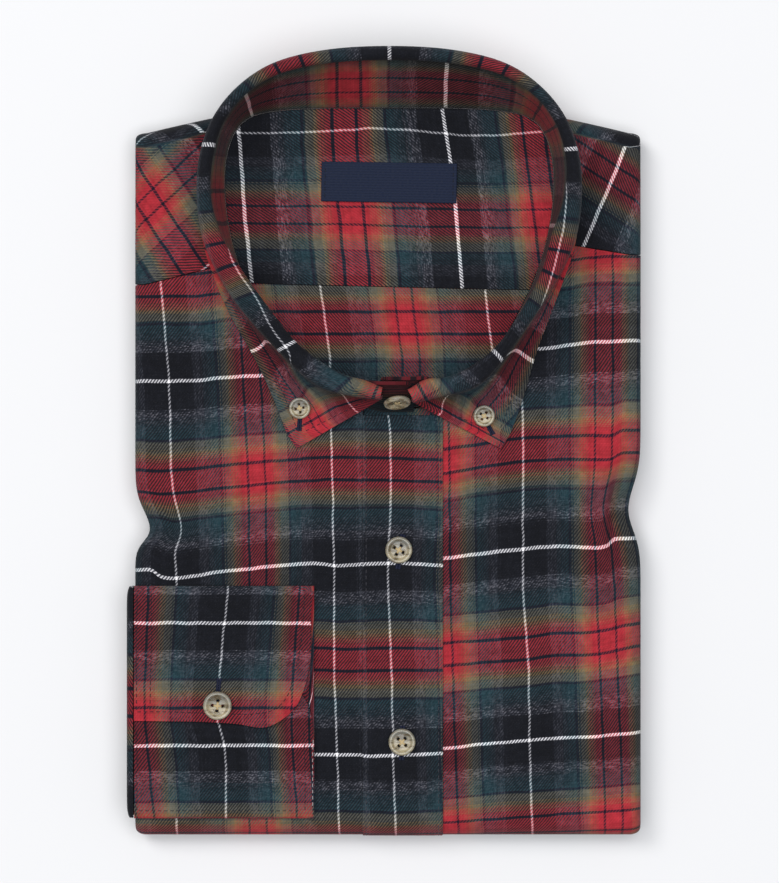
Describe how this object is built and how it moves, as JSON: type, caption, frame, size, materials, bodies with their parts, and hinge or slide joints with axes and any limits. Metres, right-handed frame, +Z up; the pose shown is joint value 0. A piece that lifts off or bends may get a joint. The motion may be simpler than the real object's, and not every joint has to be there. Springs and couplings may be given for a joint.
{
  "type": "folded flannel shirt",
  "caption": "Plaid flannel shirt with a button-down collar, buttoned and folded flat with one cuff laid on the front.",
  "frame": {"origin": "centre of the shirt's bounding box, on the surface it lies on", "axes": "+Z up off the surface, +Y from the bottom fold to the collar, +X to the wearer's left, the viewer's right"},
  "size_m": [0.2313, 0.3552, 0.0562],
  "materials": {
    "flannel": "brushed twill plaid in red, black, teal, olive and white",
    "label": "plain woven",
    "button": "polished horn look"
  },
  "bodies": {
    "root": {"front_right": "flannel", "front_left": "flannel", "placket": "flannel", "yoke": "flannel", "yoke_lining": "flannel", "back_panel": "flannel", "collar_stand": "flannel", "collar_leaf": "flannel", "cuff": "flannel", "sleeve_right": "flannel", "folded_layers": "flannel", "label": "label", "button_neck": "button", "button_front_1": "button", "button_front_2": "button", "button_collar_right": "button", "button_collar_left": "button", "button_cuff": "button"}
  },
  "joints": []
}
